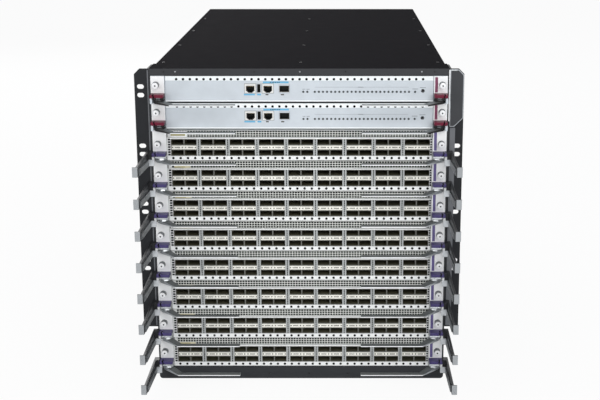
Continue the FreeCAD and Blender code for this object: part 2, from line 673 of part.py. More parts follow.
def on_each(floors, shape):
    """Copies of a right-hand piece and its mirror image in each slot."""
    return [raised(side, floor) for floor in floors for side in both_sides(shape)]


def all_pieces():
    nodes = {
        "front_frame": [front_frame()],
        "chassis_shell": [chassis_shell()],
        "top_cover": [top_cover()],
        "rack_ears": [mirrored(rack_ear(pair_heights())), rack_ear(pair_heights()[1:])],
        "ear_plate": [ear_plate()],
        "midplane": [midplane()],
        "fabric_modules": fabric_modules(),
        "power_supplies": power_supplies(),
    }
    nodes.update(card_pieces())
    nodes["control_latches"] = on_each(CONTROL_FLOORS, release_latch())
    nodes["line_latches"] = on_each(LINE_FLOORS, release_latch())
    nodes["captive_screws"] = on_each(CONTROL_FLOORS, captive_screw(CONTROL_SCREW_RISE))
    nodes["captive_screws"] += on_each(LINE_FLOORS, captive_screw(LINE_SCREW_RISE))
    nodes["cable_arms"] = on_each(LINE_FLOORS, cable_arm())
    nodes["arm_strips"] = on_each(LINE_FLOORS, arm_strip())
    for name, floor in TRAY_FLOORS.items():
        nodes[f"fan_tray_{name}"] = [fan_tray(floor)]
        for side, centre in zip(("left", "right"), fan_centres(floor)):
            nodes[f"fan_{name}_{side}"] = [fan_rotor(*centre)]
    return nodes


os.makedirs("parts", exist_ok=True)
for node, solids in all_pieces().items():
    shape = Part.makeCompound(solids) if len(solids) > 1 else solids[0]
    shape.translated(Vector(0, FRONT_Y, 0)).exportStep(f"parts/{node}.step")
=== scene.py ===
"""Looks of a modular chassis switch: finishes, perforated card faces, levers, knobs and rear hardware.

Shapes are given in millimetres: x to the right of someone facing the cards, y from the card faces
to the rear, z up.  Card pieces are modelled above z = 0, the floor of their slot, and then raised.
"""

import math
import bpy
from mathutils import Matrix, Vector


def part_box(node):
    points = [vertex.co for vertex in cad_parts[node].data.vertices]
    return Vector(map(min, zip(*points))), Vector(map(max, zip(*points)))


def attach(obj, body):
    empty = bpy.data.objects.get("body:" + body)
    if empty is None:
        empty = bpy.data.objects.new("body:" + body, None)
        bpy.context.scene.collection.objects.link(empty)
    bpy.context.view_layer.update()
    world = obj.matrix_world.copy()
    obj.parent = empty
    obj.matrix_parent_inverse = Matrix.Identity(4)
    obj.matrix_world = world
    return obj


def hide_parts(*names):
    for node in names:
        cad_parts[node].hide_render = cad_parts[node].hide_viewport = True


bl_info = {
    "name": "Modular Chassis Switch",
    "version": (1, 0, 0),
    "blender": (4, 5, 0),
    "location": "View3D > Sidebar > Switch",
    "description": "Dresses the frame of a modular chassis switch, group by group",
    "category": "Add Mesh",
}

import bpy
from bpy.props import FloatProperty, FloatVectorProperty, IntProperty, PointerProperty
from mathutils import Matrix, Vector

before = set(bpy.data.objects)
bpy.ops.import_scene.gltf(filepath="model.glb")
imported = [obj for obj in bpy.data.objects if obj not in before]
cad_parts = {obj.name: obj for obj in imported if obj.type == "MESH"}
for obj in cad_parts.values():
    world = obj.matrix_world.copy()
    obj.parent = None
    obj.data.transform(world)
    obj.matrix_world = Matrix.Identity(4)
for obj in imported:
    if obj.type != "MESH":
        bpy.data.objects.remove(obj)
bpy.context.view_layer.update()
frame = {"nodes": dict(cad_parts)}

MM = 0.001
NODES = frame["nodes"]
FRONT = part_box("front_frame")[0].y
CARD_GAP = 0.6  # from a slot's floor to the card's panel


def card_names(kind):
    """Names of the cards of a kind, from the top slot down."""
    return sorted(name[:-len("_panel")] for name in NODES if name.startswith(kind) and name.endswith("_panel"))


def slot_floor(card):
    """Height of a card's slot floor, in millimetres."""
    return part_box(card + "_panel")[0].z / MM - CARD_GAP


CONTROL_CARDS, LINE_CARDS = card_names("control"), card_names("line")

# ---- places of the solids, in millimetres ----
HANDLE_DEPTH = 27.0  # the power units' handles behind their faces
REAR = (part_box("power_supplies")[1].y - FRONT) / MM - HANDLE_DEPTH
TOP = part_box("front_frame")[1].z / MM
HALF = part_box("front_frame")[1].x / MM
FIELD = 196.4  # half the width of a card's face sheet
PORT_SHIFT, GROUPS, GROUP_PITCH = 1.5, 9, 43.2  # groups of ports, spread about a middle a little to the right
PORT_STEP, PORT_WIDTH = 19.4, 17.6
JACK_FLOOR = 14.4  # the jacks' lower edge above the slot floor
SCREW_X, CONTROL_SCREW_RISE, LINE_SCREW_RISE = 209.5, 26.8, 25.8
PIN_X, BLADE_END, BLACK_ROOT = 204.5, 196.0, 186.0  # along a lever, from its pin towards the middle
LEVER_REACH = 43.9  # a closed lever in front of the card faces
BLADE_MIDDLE = 1.8  # halfway up a lever's blade, above its underside
STRIP_SHADE_FROM = -22.0  # the arms' steel strips are painted darker in front of this, as painted shade
FAN_X = 102.0

# ---- depths of what lies on the card faces, in millimetres ----
LIFT = -0.02  # the back of a piece that lies on a face
SHEET_DEPTH = (-0.5, -0.1)
# depth of the dark sheets behind drilled strips, painted shade seen through their holes
SHADE_BACKING_DEPTH = (-0.1, LIFT)
PRINT_DEPTH = (-0.2, LIFT)
LAMP_DEPTH = (-0.5, LIFT)
LABEL_DEPTH, LABEL_PRINT_DEPTH = (4.9, 5.5), (4.75, 4.95)
HOLE_DEPTH, SHEET_THICKNESS = 0.3, 0.42
THROUGH = (-2, 2)  # a cutting tool that passes through a face

FACING = 0.9  # least share of a normal along an axis, for a face that looks that way

# ---- control cards: middle, width, height, opening's width and height, notch, finish ----
JACKS = ((-71.8, 16.4, 13.6, 12.6, 7.6, True, "bezel"),
         (-59.2, 6.6, 14.2, 5.0, 12.2, False, "control_face"),
         (-46.0, 16.4, 13.6, 12.6, 7.6, True, "bezel"),
         (-22.0, 15.4, 12.4, 14.4, 9.8, False, "control_face"))
NOTCHES = ((4.8, 1.3), (3.2, 2.5))  # half width and drop of each step below a jack's opening
PRINTS = (((-53.0, -15.4), (28.9, 31.6), "blue_label"), ((-81.2, -65.2), (10.9, 13.3), "blue_label"),
          ((-61.8, -56.2), (10.9, 13.3), "blue_label"), ((-49.4, -45.2), (11.2, 12.9), "marks"),
          ((-27.0, -22.4), (11.2, 12.9), "marks"), ((22.4, 160.2), (22.9, 23.3), "fine_print"),
          ((86.0, 94.0), (22.6, 23.6), "fine_print"), ((4.6, 8.8), (19.6, 20.5), "fine_print"),
          ((10.6, 15.2), (19.6, 20.5), "fine_print"), ((165.4, 173.8), (20.0, 20.9), "fine_print"),
          ((176.6, 185.4), (22.0, 22.9), "fine_print"))
LAMP_RISE, LAMP_RADIUS = 16.2, 1.65

# ---- stage: name, place, aim, size and watts of each lamp, in metres ----
STAGE_LAMPS = (("key_lamp", (1.0, -2.9, 1.5), (0, -0.3, 0.25), (2.2, 1.8), 38),
               ("fill_lamp", (-2.2, -2.3, 1.2), (0, -0.2, 0.25), (1.8, 1.6), 20),
               ("top_lamp", (0.2, 0.4, 2.8), (0, 0, 0.4), (2.2, 2.2), 11),
               ("rear_lamp", (-1.0, 2.8, 1.6), (0, 0.3, 0.25), (1.6, 1.6), 22))
CAMERA_PLACE, CAMERA_DOWN = (0.056, -2.055, 0.752), 13.48  # metres, and degrees below level
CAMERA_LENS, CAMERA_SHIFT = 69.8, (-0.0625, -0.067)
WORLD_LIGHT, WORLD_TINT = 0.46, (0.93, 0.96, 1.0, 1)
FLOOR_GLOW = 0.93  # share of the floor's own white, as the camera sees it


def tone(red, green, blue):
    """Linear colour of an 8-bit screen colour."""
    channels = [value / 255.0 for value in (red, green, blue)]
    return [c / 12.92 if c <= 0.04045 else ((c + 0.055) / 1.055) ** 2.4 for c in channels]


# ---- sizes and colours that a user would change ----
def length(name, description, value):
    return FloatProperty(name=name, description=description, default=value * MM, min=0.0, unit="LENGTH")


def colour(name, description, *value):
    return FloatVectorProperty(name=name, description=description, default=tone(*value), size=3,
                               subtype="COLOR", min=0.0, max=1.0)


class SwitchSizes(bpy.types.PropertyGroup):
    soft_edge: length("Soft edge", "Rounding of the sheet-metal edges", 0.35)
    lever_edge: length("Lever edge", "Rounding of the ejector levers", 0.6)
    grille_columns: IntProperty(name="Grille columns", description="Square holes along a line card's grille",
                                default=95, min=1)
    mesh_columns: IntProperty(name="Mesh columns", description="Small holes along the slanted mesh",
                              default=128, min=1)
    line_hole: length("Line hole", "Radius of the round holes below the ports", 1.9)
    control_hole: length("Control hole", "Radius of the round holes above the jacks", 1.9)
    knob_radius: length("Knob radius", "Radius of the captive screws' knobs", 4.7)
    blade_trim: length("Blade trim", "Taken off the underside of the levers' blades", 2.0)
    guard_wire: length("Guard wire", "Thickness of the fan guards' wire", 1.1)


class SwitchColours(bpy.types.PropertyGroup):
    frame: colour("Frame", "Painted front collar", 34, 36, 40)
    shell: colour("Shell", "Painted floor and sides", 52, 54, 58)
    cover: colour("Cover", "Painted top cover", 24, 23, 26)
    ears: colour("Ears", "Painted rack ears", 20, 22, 26)
    plate: colour("Plate", "Moulded plate on the right ear", 40, 42, 46)
    control_face: colour("Control face", "Face sheets of the control cards", 204, 211, 217)
    line_face: colour("Line face", "Face sheets of the line cards", 242, 243, 242)
    marker: colour("Marker strip", "Strip between the two rows of ports", 242, 240, 230)
    steel: colour("Steel", "Levers and strips", 196, 200, 203)
    control_latch: colour("Control latch", "Release latches of the control cards", 104, 14, 44)
    line_latch: colour("Line latch", "Release latches of the line cards", 72, 64, 112)
    arms: colour("Arms", "Cable arms", 26, 27, 30)
    tray: colour("Trays", "Fan trays and power units", 150, 153, 156)


# ---- finishes ----
def surface(name, base, rough, metal=0.0, vary=0.08, cloud=35.0, grain=0.04, fine=900.0, stretch=(1, 1, 1),
            shine=0.5):
    """Material whose colour drifts a little, with uneven gloss and a fine grain in the bump."""
    material = bpy.data.materials.new(name)
    material.use_nodes = True
    nodes, links = material.node_tree.nodes, material.node_tree.links
    shader = nodes["Principled BSDF"]
    shader.inputs["Metallic"].default_value = metal
    shader.inputs["Specular IOR Level"].default_value = shine
    place = nodes.new("ShaderNodeTexCoord")
    mapping = nodes.new("ShaderNodeMapping")
    mapping.inputs["Scale"].default_value = stretch
    links.new(place.outputs["Object"], mapping.inputs["Vector"])
    drift = nodes.new("ShaderNodeTexNoise")
    drift.inputs["Scale"].default_value = cloud
    drift.inputs["Detail"].default_value = 5.0
    speckle = nodes.new("ShaderNodeTexNoise")
    speckle.inputs["Scale"].default_value = fine
    speckle.inputs["Detail"].default_value = 2.0
    for texture in (drift, speckle):
        links.new(mapping.outputs["Vector"], texture.inputs["Vector"])
    ramp = nodes.new("ShaderNodeValToRGB")
    ramp.color_ramp.elements[0].position, ramp.color_ramp.elements[1].position = 0.3, 0.7
    ramp.color_ramp.elements[0].color = [max(0.0, c * (1.0 - vary)) for c in base] + [1.0]
    ramp.color_ramp.elements[1].color = [min(1.0, c * (1.0 + vary)) for c in base] + [1.0]
    ramp.name = "Tones"
    gloss = nodes.new("ShaderNodeMapRange")
    gloss.inputs["To Min"].default_value = max(0.03, rough - 0.07)
    gloss.inputs["To Max"].default_value = min(1.0, rough + 0.07)
    bump = nodes.new("ShaderNodeBump")
    bump.inputs["Strength"].default_value = grain
    bump.inputs["Distance"].default_value = 0.0002
    links.new(drift.outputs["Fac"], ramp.inputs["Fac"])
    links.new(ramp.outputs["Color"], shader.inputs["Base Color"])
    links.new(drift.outputs["Fac"], gloss.inputs["Value"])
    links.new(gloss.outputs["Result"], shader.inputs["Roughness"])
    links.new(speckle.outputs["Fac"], bump.inputs["Height"])
    links.new(bump.outputs["Normal"], shader.inputs["Normal"])
    return material


def painted_shade_behind(material, depth, fade, painted_shade):
    """Paints shade into a finish: turns it into another colour behind a depth from the card faces, as painted shade
    inside a port.
    """
    nodes, links = material.node_tree.nodes, material.node_tree.links
    place = nodes.new("ShaderNodeTexCoord")
    apart = nodes.new("ShaderNodeSeparateXYZ")
    links.new(place.outputs["Object"], apart.inputs["Vector"])
    share = nodes.new("ShaderNodeMapRange")
    share.inputs["From Min"].default_value = FRONT + depth * MM
    share.inputs["From Max"].default_value = FRONT + (depth + fade) * MM
    links.new(apart.outputs["Y"], share.inputs["Value"])
    mix = nodes.new("ShaderNodeMix")
    mix.data_type = "RGBA"
    links.new(share.outputs["Result"], mix.inputs["Factor"])
    links.new(nodes["Tones"].outputs["Color"], mix.inputs["A"])
    mix.inputs["B"].default_value = list(painted_shade) + [1.0]
    links.new(mix.outputs["Result"], nodes["Principled BSDF"].inputs["Base Color"])
    return material


def all_finishes(colours):
    """Every finish of the switch, by name."""
    return {
        "frame": surface("frame_powder_coat", colours.frame, 0.45, grain=0.12),
        "shell": surface("shell_powder_coat", colours.shell, 0.5, grain=0.12),
        "cover": surface("cover_powder_coat", colours.cover, 0.85, grain=0.1, vary=0.05, shine=0.01),
        "ears": surface("ear_powder_coat", colours.ears, 0.55, grain=0.12, shine=0.3),
        "ear_fold_highlight": surface("ear_fold_painted_highlight", tone(100, 102, 106), 0.45, grain=0.1),
        "plate": surface("plate_moulding", colours.plate, 0.38, grain=0.08),
        "outline": surface("plate_outline", tone(170, 174, 178), 0.4),
        "control_face": surface("control_sheet", colours.control_face, 0.42, vary=0.035, cloud=60.0),
        "control_band": surface("control_band", tone(246, 250, 251), 0.42, vary=0.02),
        "line_face": surface("line_sheet", colours.line_face, 0.42, vary=0.03, cloud=50.0),
        "panel_white": surface("panel_lacquer", tone(250, 250, 250), 0.4, vary=0.015),
        "grille": surface("grille_sheet", tone(232, 235, 229), 0.45, vary=0.05, cloud=70.0),
        # The slanted mesh is darker grey than the face sheet: painted shade under the card above.
        "mesh": surface("mesh_sheet_painted_shade", tone(168, 170, 166), 0.45, metal=0.1, vary=0.06, cloud=70.0),
        "pillar": surface("pillar_sheet", tone(178, 181, 180), 0.45, metal=0.2, vary=0.06, cloud=80.0),
        "hole": surface("hole_shadow", tone(13, 13, 13), 0.9, vary=0.2, cloud=90.0, shine=0.03),
        "marker": surface("marker_strip", colours.marker, 0.5, vary=0.05, cloud=45.0),
        "marks": surface("marker_print", tone(58, 54, 46), 0.6, vary=0.2, cloud=300.0),
        "label": surface("card_label", tone(158, 148, 84), 0.5, vary=0.12, cloud=220.0),
        "pale_label": surface("pale_label", tone(222, 214, 184), 0.5, vary=0.08, cloud=220.0),
        "blue_label": surface("blue_label", tone(104, 178, 216), 0.5, vary=0.05, cloud=200.0),
        "fine_print": surface("fine_print", tone(150, 156, 162), 0.6, vary=0.1, cloud=300.0),
        # Painted light inside the openings: the cage steel turns olive deep in the ports, standing for the dim light
        # there, and the jack shells turn nearly black, painted shade.
        "cage": painted_shade_behind(surface("cage_steel", tone(104, 104, 98), 0.4, metal=0.2, vary=0.2, cloud=240.0),
                              0.4, 3.0, tone(104, 101, 82)),
        "board": painted_shade_behind(surface("jack_shell", tone(176, 172, 162), 0.4, metal=0.4, vary=0.15, cloud=200.0),
                               0.3, 2.0, tone(22, 26, 22)),
        "laminate": surface("board_laminate", tone(24, 66, 44), 0.4, vary=0.2, cloud=90.0),
        "bezel": surface("jack_bezel", tone(226, 226, 222), 0.4, metal=0.1, vary=0.06, cloud=150.0),
        "contact": surface("gold_contacts", tone(206, 168, 84), 0.3, metal=1.0, vary=0.1),
        "steel": surface("satin_steel", colours.steel, 0.3, metal=0.85, vary=0.1, cloud=40.0, fine=500.0, grain=0.1,
                         stretch=(0.15, 2.0, 2.0)),
        # Painted highlight and painted shade: near white on the levers' fronts and the ear plate's edges, darker
        # steel on the levers' tops.
        "painted_highlight": surface("painted_highlight_edge", tone(246, 247, 248), 0.35, vary=0.02),
        "lever_top_shade": surface("lever_top_painted_shade", tone(112, 116, 116), 0.4, metal=0.5, vary=0.12, cloud=90.0,
                             stretch=(0.15, 2.0, 2.0)),
        "black": surface("black_lacquer", tone(12, 12, 13), 0.5, vary=0.2, shine=0.3),
        "strip": surface("strip_steel", tone(214, 217, 220), 0.3, metal=0.6, vary=0.08, cloud=60.0, fine=500.0,
                         stretch=(2.0, 0.15, 2.0)),
        "strip_painted_shade": surface("strip_painted_shade", tone(104, 107, 109), 0.4, metal=0.4, vary=0.12, cloud=60.0,
                               stretch=(2.0, 0.15, 2.0)),
        "control_latch": surface("latch_maroon", colours.control_latch, 0.4, vary=0.18, cloud=150.0, shine=0.3),
        "line_latch": surface("latch_purple", colours.line_latch, 0.4, vary=0.14, cloud=150.0, shine=0.3),
        "control_stripe": surface("stripe_maroon", tone(122, 56, 86), 0.45, vary=0.12, cloud=160.0),
        "line_stripe": surface("stripe_purple", tone(98, 88, 138), 0.45, vary=0.12, cloud=160.0),
        "knob": surface("knob_nickel", tone(240, 240, 241), 0.35, metal=0.1, vary=0.04, cloud=150.0),
        "knurl": surface("knob_knurl", tone(112, 115, 118), 0.4, metal=0.3, vary=0.2, cloud=500.0),
        "arms": surface("arm_moulding", colours.arms, 0.42, grain=0.1, vary=0.12),
        "arm_tip": surface("arm_tip", tone(158, 161, 163), 0.4, vary=0.06),
        "lamp_off": surface("lamp_off", tone(62, 68, 70), 0.3, vary=0.15, cloud=300.0),
        "lamp_green": surface("lamp_green", tone(60, 150, 84), 0.2, vary=0.1),
        "tray": surface("tray_zinc", colours.tray, 0.38, metal=0.75, vary=0.1, cloud=25.0),
        "module": surface("module_zinc", tone(140, 143, 146), 0.42, metal=0.7, vary=0.1, cloud=30.0),
        "fan": surface("fan_moulding", tone(24, 24, 26), 0.42, vary=0.12),
        "screw": surface("screw_zinc", tone(150, 152, 155), 0.3, metal=0.9, vary=0.12, cloud=300.0),
        "dark_screw": surface("screw_black", tone(24, 24, 26), 0.4, metal=0.3, vary=0.12, cloud=300.0),
        # Near-black painted shade, for the gaps between cards, sockets and the backs of openings.
        "painted_shade": surface("inside_painted_shade", tone(12, 12, 13), 0.7, vary=0.2),
    }


FINISH = {}


# ---- modelling, as by hand ----
def deselect():
    if bpy.context.object and bpy.context.object.mode != "OBJECT":
        bpy.ops.object.mode_set(mode="OBJECT")
    bpy.ops.object.select_all(action="DESELECT")


def pick(*pieces):
    """Select these pieces alone, the first of them active."""
    deselect()
    for piece in pieces:
        piece.select_set(True)
    bpy.context.view_layer.objects.active = pieces[0]


def settle(piece):
    """Move place, turn and scale into the mesh."""
    pick(piece)
    bpy.ops.object.transform_apply(location=True, rotation=True, scale=True)
    return piece


def modify(piece, kind, **settings):
    """Add a modifier and apply it."""
    modifier = piece.modifiers.new(kind.title(), kind)
    for key, value in settings.items():
        setattr(modifier, key, value)
    pick(piece)
    bpy.ops.object.modifier_apply(modifier=modifier.name)
    return piece


def soften(piece, width, segments=2):
    """Round the edges where faces meet at more than a slight angle."""
    return modify(piece, "BEVEL", width=width, segments=segments, limit_method="ANGLE",
                  angle_limit=math.radians(32))


def row(piece, count, step):
    """Repeat a shape along x."""
    return modify(piece, "ARRAY", count=count, use_relative_offset=False, use_constant_offset=True,
                  constant_offset_displace=(step * MM, 0, 0))


def join(*pieces):
    pick(*pieces)
    if len(pieces) > 1:
        bpy.ops.object.join()
    return pieces[0]


def paint(piece, *finishes):
    """Give a piece its finishes, the first of them on every face."""
    piece.data.materials.clear()
    for finish in finishes:
        piece.data.materials.append(FINISH[finish])
    return piece


def edit(piece, mode="FACE"):
    """Enter edit mode with nothing selected."""
    pick(piece)
    bpy.ops.object.mode_set(mode="EDIT")
    bpy.ops.mesh.select_mode(type=mode)
    bpy.ops.mesh.select_all(action="DESELECT")


def leave():
    bpy.ops.object.mode_set(mode="OBJECT")


def choose(piece, test):
    """Enter edit mode with the faces selected that the test picks by centre and normal."""
    edit(piece)
    leave()
    for face in piece.data.polygons:
        face.select = test(face.center, face.normal)
    bpy.ops.object.mode_set(mode="EDIT")


def repaint(piece, finish, test):
    """Put another finish on the faces that the test picks."""
    piece.data.materials.append(FINISH[finish])
    index = len(piece.data.materials) - 1
    for face in piece.data.polygons:
        if test(face.center, face.normal):
            face.material_index = index
    return piece


def face_out(piece):
    edit(piece)
    bpy.ops.mesh.select_all(action="SELECT")
    bpy.ops.mesh.normals_make_consistent(inside=False)
    leave()
    return piece


def spot(x, y, z):
    return Vector((x * MM, FRONT + y * MM, z * MM))


def cuboid(x, y, z, finish, soft=0.0):
    """Block between the low and high limit along each axis, its edges rounded."""
    deselect()
    low, high = spot(x[0], y[0], z[0]), spot(x[1], y[1], z[1])
    bpy.ops.mesh.primitive_cube_add(size=1.0, location=(low + high) / 2, scale=high - low)
    piece = paint(settle(bpy.context.object), finish)
    return soften(piece, soft * MM) if soft else piece


def turned(x, y, z, radius, finish, sides=20, axis="y", soft=0.0):
    """Round bar along an axis, whose limits along that axis are given as a pair."""
    deselect()
    limits = {"x": x, "y": y, "z": z}[axis]
    middle = (limits[0] + limits[1]) / 2
    place = {"x": (middle, y, z), "y": (x, middle, z), "z": (x, y, middle)}[axis]
    turn = {"x": (0, math.pi / 2, 0), "y": (math.pi / 2, 0, 0), "z": (0, 0, 0)}[axis]
    bpy.ops.mesh.primitive_cylinder_add(vertices=sides, radius=radius * MM, depth=(limits[1] - limits[0]) * MM,
                                        location=spot(*place), rotation=turn)
    piece = paint(settle(bpy.context.object), finish)
    return soften(piece, soft * MM) if soft else piece


def hoop(x, y, z, radius, wire, finish, around):
    """Ring of wire facing the front."""
    deselect()
    bpy.ops.mesh.primitive_torus_add(major_radius=radius * MM, minor_radius=wire * MM, major_segments=around,
                                     minor_segments=6, location=spot(x, y, z), rotation=(math.pi / 2, 0, 0))
    return smooth(paint(settle(bpy.context.object), finish))


def smooth(piece, angle=35.0):
    pick(piece)
    bpy.ops.object.shade_smooth_by_angle(angle=math.radians(angle))
    return piece


def drilled(piece, tool):
    """Cut a tool's shape out of a piece."""
    modify(piece, "BOOLEAN", operation="DIFFERENCE", object=tool, solver="EXACT",
           material_mode="TRANSFER")
    bpy.data.objects.remove(tool)
    return piece


def pierced(size, cells, rim, sheet, place, tilt=90.0, chosen=None):
    """Sheet with a grid of pockets: each cell is inset and pushed in, and the back is closed.

    It is made lying flat, then tilted about x and put with the middle of its front at a place.
    """
    deselect()
    bpy.ops.mesh.primitive_grid_add(x_subdivisions=cells[0], y_subdivisions=cells[1], size=1.0)
    piece = bpy.context.object
    piece.scale = (size[0] * MM, size[1] * MM, 1.0)
    paint(settle(piece), sheet, "hole")
    choose(piece, chosen or (lambda centre, normal: True))
    bpy.ops.mesh.inset(thickness=rim * MM, use_individual=True)
    bpy.ops.mesh.extrude_region_move(TRANSFORM_OT_translate={"value": (0, 0, -HOLE_DEPTH * MM)})
    piece.active_material_index = 1
    bpy.ops.object.material_slot_assign()
    bpy.ops.mesh.select_mode(type="EDGE")
    bpy.ops.mesh.select_all(action="DESELECT")
    bpy.ops.mesh.select_non_manifold()
    bpy.ops.mesh.extrude_region_move(TRANSFORM_OT_translate={"value": (0, 0, -SHEET_THICKNESS * MM)})
    bpy.ops.mesh.edge_face_add()
    bpy.ops.mesh.select_all(action="SELECT")
    bpy.ops.mesh.normals_make_consistent(inside=False)
    leave()
    piece.rotation_euler = (math.radians(tilt), 0, 0)
    piece.location = spot(*place)
    return settle(piece)


def copied(template, name, rise, side=1):
    """Copy of a template with its own mesh, raised, and mirrored to the left where the side is -1."""
    piece = bpy.data.objects.new(name, template.data.copy())
    bpy.context.scene.collection.objects.link(piece)
    mirror = Matrix.Scale(side, 4, (1, 0, 0))
    piece.data.transform(Matrix.Translation((0, 0, rise * MM)) @ mirror)
    return face_out(piece) if side < 0 else piece


def placed(piece, place, *turns):
    """Turn a piece that was modelled about (0, 0, 0), by angle and axis, then move it to a place."""
    piece.data.transform(Matrix.Translation(-spot(0, 0, 0)))
    for angle, axis in turns:
        piece.data.transform(Matrix.Rotation(angle, 4, axis))
    piece.data.transform(Matrix.Translation(spot(*place)))
    return piece


def mount(piece, name, body="chassis", replaces=()):
    """Name a finished piece and tell the frame where it belongs."""
    piece.name = name
    piece.data.name = name
    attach(piece, body)
    if replaces:
        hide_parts(*replaces)
    return piece


def on_cards(template, cards, name):
    """A template's copy on each card, the template itself then gone."""
    for card in cards:
        mount(copied(template, f"{card}_{name}", slot_floor(card)), f"{card}_{name}")
    bpy.data.objects.remove(template)


def on_both_ends(template, cards, name):
    """As on_cards, at the right end and mirrored at the left end, joined into one piece."""
    for card in cards:
        ends = [copied(template, f"{card}_{name}", slot_floor(card), side) for side in (1, -1)]
        mount(join(*ends), f"{card}_{name}")
    bpy.data.objects.remove(template)


def refined(node, finish, width):
    """Copy of a solid with its flat faces made whole and its edges rounded."""
    piece = bpy.data.objects.new(node + "_shape", NODES[node].data.copy())
    bpy.context.scene.collection.objects.link(piece)
    edit(piece)
    bpy.ops.mesh.select_all(action="SELECT")
    bpy.ops.mesh.remove_doubles(threshold=0.00001)
    bpy.ops.mesh.dissolve_limited(angle_limit=math.radians(1.0))
    leave()
    return paint(soften(piece, width), finish)


def finish_node(node, finish):
    """Put a finish into a solid's own material slots."""
    for slot in NODES[node].material_slots:
        slot.material = FINISH[finish]


# ---- operators, one for each group of pieces ----
class SWITCH_OT_finishes(bpy.types.Operator):
    """Make the finishes and put them on the solids of the frame"""
    bl_idname = "switch.finishes"
    bl_label = "Finishes"

    def execute(self, context):
        FINISH.update(all_finishes(context.scene.switch_colours))
        plain = {"front_frame": "frame", "chassis_shell": "shell", "top_cover": "cover", "rack_ears": "ears",
                 "ear_plate": "plate", "midplane": "laminate", "fabric_modules": "module",
                 "power_supplies": "module", "control_boards": "board", "control_latches": "control_latch",
                 "line_latches": "line_latch", "captive_screws": "knob", "cable_arms": "arms",
                 "arm_strips": "strip"}
        endings = {"_reset": "black", "_board": "cage", "_lever_left": "steel", "_lever_right": "steel"}
        for node in NODES:
            if node in plain:
                finish = plain[node]
            elif node.endswith("_panel"):
                finish = "control_face" if node.startswith("control") else "line_face"
            elif node.startswith("fan_tray"):
                finish = "tray"
            elif node.startswith("fan_"):
                finish = "fan"
            else:
                finish = next(value for ending, value in endings.items() if node.endswith(ending))
            finish_node(node, finish)
        return {"FINISHED"}


class SWITCH_OT_sheet_metal(bpy.types.Operator):
    """Collar, cover and ears with softened edges, the plate with its pale outline, and pale strips on the ears'
    bends and the plate's edges as painted highlight
    """
    bl_idname = "switch.sheet_metal"
    bl_label = "Collar, cover and ears"

    def execute(self, context):
        soft = context.scene.switch_sizes.soft_edge
        for node, finish, slot in (("front_frame", "frame", "frame_paint"), ("top_cover", "cover", "cover_paint"),
                                   ("rack_ears", "ears", "ear_paint")):
            piece = refined(node, finish, soft)
            if node == "front_frame":
                repaint(piece, "cover", lambda centre, normal: centre.z > (TOP - 0.5) * MM and normal.z > FACING)
            mount(piece, node + "_softened", replaces=[node])

        low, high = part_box("ear_plate")

        def in_front(centre, normal):
            return normal.y < -FACING and centre.y < low.y + 0.1 * MM

        plate = refined("ear_plate", "plate", soft)
        choose(plate, in_front)
        bpy.ops.mesh.inset(thickness=1.1 * MM)
        bpy.ops.mesh.extrude_region_move(TRANSFORM_OT_translate={"value": (0, 0.5 * MM, 0)})
        leave()
        repaint(plate, "outline", in_front)
        mount(plate, "ear_plate_outlined", replaces=["ear_plate"])

        # Pale strips along the ears' bends: painted highlight.
        folds = [cuboid((HALF + 1.6, HALF + 9.6), (-0.5, 0), (88, 398), "ear_fold_highlight", 0.2),
                 cuboid((-HALF - 2.4, -HALF - 0.6), (-0.5, 0), (88, 484), "ear_fold_highlight", 0.2)]
        mount(join(*folds), "ear_fold_highlights")
        left, right, bottom, top = low.x / MM, high.x / MM, low.z / MM, high.z / MM
        # Near-white strips on the plate's left and top edges: painted highlight.
        edges = [cuboid((left - 1.6, left + 0.4), (-2.6, -0.3), (bottom + 8, top - 1), "painted_highlight", 0.2),
                 cuboid((left + 0.4, right - 10), (-3.1, -2.9), (top - 1.8, top - 0.6), "painted_highlight", 0.08)]
        mount(join(*edges), "ear_plate_edge_highlights")
        return {"FINISHED"}


class SWITCH_OT_screws(bpy.types.Operator):
    """Small screws in the rails, the cover and the sides"""
    bl_idname = "switch.screws"
    bl_label = "Small screws"

    def execute(self, context):
        head_height, recess_floor, recess_top = 0.9, 0.6, 1.2
        rail_radius, body_radius = 1.3, 2.2

        def screw(x, y, z, axis, side, radius, finish):
            """Low head with a cross recess, standing on a face."""
            reach = {"x": x, "y": y, "z": z}[axis]
            limits = sorted((reach, reach + side * head_height))
            places = {"x": (limits, y, z), "y": (x, limits, z), "z": (x, y, limits)}[axis]
            head = turned(*places, radius, finish, sides=14, axis=axis, soft=0.3)
            arm, thin = radius * 0.55, radius * 0.14
            top = sorted((reach + side * recess_floor, reach + side * recess_top))
            for one, other in ((arm, thin), (thin, arm)):
                spans = {"x": [top, (y - one, y + one), (z - other, z + other)],
                         "y": [(x - one, x + one), top, (z - other, z + other)],
                         "z": [(x - one, x + one), (y - other, y + other), top]}[axis]
                drilled(head, cuboid(*spans, finish))
            return head

        dark = (-198, -65, 68, 198)
        rail = [screw(x, 0, TOP - 4.6, "y", -1, rail_radius, "dark_screw" if x in dark else "screw")
                for x in (-198, -181, -65, 1, 68, 179, 198)]
        rail += [screw(x, 0, 8.6, "y", -1, rail_radius, "dark_screw") for x in (-50, 12, 72)]
        mount(join(*rail), "rail_screws")
        lid = [screw(x, y, TOP - 2, "z", 1, body_radius, "dark_screw")
               for x in (-208, 0, 208) for y in range(70, int(REAR), 190)]
        mount(join(*lid), "cover_screws")
        sides = [screw(side * (HALF - 2), y, z, "x", side, body_radius, "dark_screw")
                 for side in (1, -1) for y in range(90, int(REAR), 180) for z in (20, 130, 300, 455)]
        mount(join(*sides), "side_screws")
        return {"FINISHED"}


